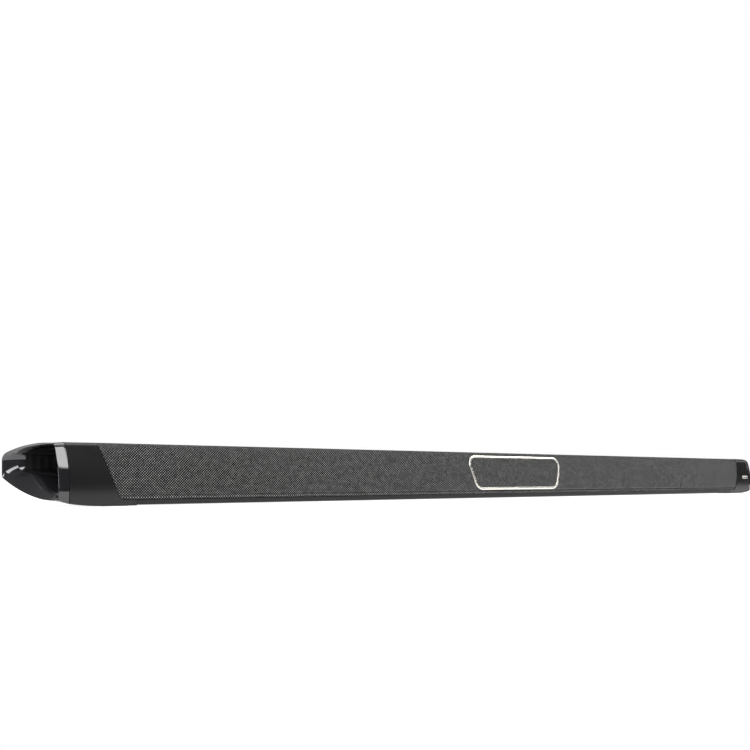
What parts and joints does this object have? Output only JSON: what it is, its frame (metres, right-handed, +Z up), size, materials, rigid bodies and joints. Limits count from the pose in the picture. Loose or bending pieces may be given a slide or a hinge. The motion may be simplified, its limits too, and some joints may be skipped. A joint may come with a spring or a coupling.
{
  "type": "soundbar",
  "caption": "Long low soundbar with a woven front, a metal ring in the middle, gloss bass-port mouths at both ends, top buttons and a socket bay at the back.",
  "frame": {"origin": "on the table, under the middle of the bar", "axes": "+X along the bar towards its right end as a listener sees it, +Z up, -Y the cloth front"},
  "size_m": [1.0922, 0.079, 0.0533],
  "materials": {
    "cloth": "fine woven grey and black acoustic cloth",
    "satin_black": "satin black moulded plastic",
    "gloss_black": "polished black plastic",
    "housing_black": "fine-textured black plastic",
    "bright_metal": "bright silver with a warm tint",
    "frame_plastic": "plain black plastic",
    "rubber": "soft black rubber",
    "board": "green circuit board with black parts",
    "cone_paper": "coated paper cone",
    "dome_silk": "treated silk",
    "basket": "black painted steel",
    "plated_steel": "plated steel",
    "aluminium": "plain extruded aluminium",
    "socket_plastic": "black socket plastic"
  },
  "bodies": {
    "root": {"rear_housing": "housing_black", "top_cover": "satin_black", "front_baffle": "frame_plastic", "grille_frame": "frame_plastic", "grille_cloth": "cloth", "center_ring": "bright_metal", "left_end_cap": "satin_black", "right_end_cap": "satin_black", "left_end_horn": "gloss_black", "right_end_horn": "gloss_black", "left_port_tube": "frame_plastic", "right_port_tube": "frame_plastic", "right_badge": "bright_metal", "left_front_foot": "rubber", "left_rear_foot": "rubber", "right_front_foot": "rubber", "right_rear_foot": "rubber", "button_board": "board", "main_board": "board", "amplifier_board": "board", "power_board": "board", "heat_sink": "aluminium", "display_board": "board", "terminal_bay": "housing_black", "power_bay": "housing_black", "power_inlet": "socket_plastic", "video_output_socket": "plated_steel", "video_input_socket_1": "plated_steel", "video_input_socket_2": "plated_steel", "video_input_socket_3": "plated_steel", "optical_socket": "socket_plastic", "audio_jack": "socket_plastic", "network_socket": "plated_steel", "service_port": "plated_steel", "left_mid_basket": "basket", "center_left_mid_basket": "basket", "center_right_mid_basket": "basket", "right_mid_basket": "basket", "left_tweeter_body": "frame_plastic", "center_tweeter_body": "frame_plastic", "right_tweeter_body": "frame_plastic", "left_hanger_plate": "plated_steel", "right_hanger_plate": "plated_steel", "housing_screw_1": "plated_steel", "housing_screw_2": "plated_steel", "housing_screw_3": "plated_steel", "housing_screw_4": "plated_steel"},
    "power_button": {"power_button": "satin_black"},
    "source_button": {"source_button": "satin_black"},
    "wireless_button": {"wireless_button": "satin_black"},
    "volume_down_button": {"volume_down_button": "satin_black"},
    "volume_up_button": {"volume_up_button": "satin_black"},
    "left_mid_cone": {"left_mid_cone": "cone_paper"},
    "center_left_mid_cone": {"center_left_mid_cone": "cone_paper"},
    "center_right_mid_cone": {"center_right_mid_cone": "cone_paper"},
    "right_mid_cone": {"right_mid_cone": "cone_paper"},
    "left_tweeter_dome": {"left_tweeter_dome": "dome_silk"},
    "center_tweeter_dome": {"center_tweeter_dome": "dome_silk"},
    "right_tweeter_dome": {"right_tweeter_dome": "dome_silk"},
    "optical_shutter": {"optical_shutter": "socket_plastic"}
  },
  "joints": [
    {"name": "power_button_press", "type": "slide", "parent": "root", "child": "power_button", "axis": [0, 0, -1], "range_m": [0, 0.0008], "stiffness_N_per_m": 500},
    {"name": "source_button_press", "type": "slide", "parent": "root", "child": "source_button", "axis": [0, 0, -1], "range_m": [0, 0.0008], "stiffness_N_per_m": 500},
    {"name": "wireless_button_press", "type": "slide", "parent": "root", "child": "wireless_button", "axis": [0, 0, -1], "range_m": [0, 0.0008], "stiffness_N_per_m": 500},
    {"name": "volume_down_button_press", "type": "slide", "parent": "root", "child": "volume_down_button", "axis": [0, 0, -1], "range_m": [0, 0.0008], "stiffness_N_per_m": 500},
    {"name": "volume_up_button_press", "type": "slide", "parent": "root", "child": "volume_up_button", "axis": [0, 0, -1], "range_m": [0, 0.0008], "stiffness_N_per_m": 500},
    {"name": "left_mid_stroke", "type": "slide", "parent": "root", "child": "left_mid_cone", "axis": [0, -1, 0], "range_m": [-0.002, 0.002], "stiffness_N_per_m": 1500},
    {"name": "center_left_mid_stroke", "type": "slide", "parent": "root", "child": "center_left_mid_cone", "axis": [0, -1, 0], "range_m": [-0.002, 0.002], "stiffness_N_per_m": 1500},
    {"name": "center_right_mid_stroke", "type": "slide", "parent": "root", "child": "center_right_mid_cone", "axis": [0, -1, 0], "range_m": [-0.002, 0.002], "stiffness_N_per_m": 1500},
    {"name": "right_mid_stroke", "type": "slide", "parent": "root", "child": "right_mid_cone", "axis": [0, -1, 0], "range_m": [-0.002, 0.002], "stiffness_N_per_m": 1500},
    {"name": "left_tweeter_stroke", "type": "slide", "parent": "root", "child": "left_tweeter_dome", "axis": [0, -1, 0], "range_m": [-0.0003, 0.0003], "stiffness_N_per_m": 3000},
    {"name": "center_tweeter_stroke", "type": "slide", "parent": "root", "child": "center_tweeter_dome", "axis": [0, -1, 0], "range_m": [-0.0003, 0.0003], "stiffness_N_per_m": 3000},
    {"name": "right_tweeter_stroke", "type": "slide", "parent": "root", "child": "right_tweeter_dome", "axis": [0, -1, 0], "range_m": [-0.0003, 0.0003], "stiffness_N_per_m": 3000},
    {"name": "optical_shutter_swing", "type": "hinge", "parent": "root", "child": "optical_shutter", "pos_m": [0.233, 0.024, 0.0353], "axis": [-1, 0, 0], "range_deg": [0, 85], "stiffness_Nm_per_rad": 0.0002}
  ]
}
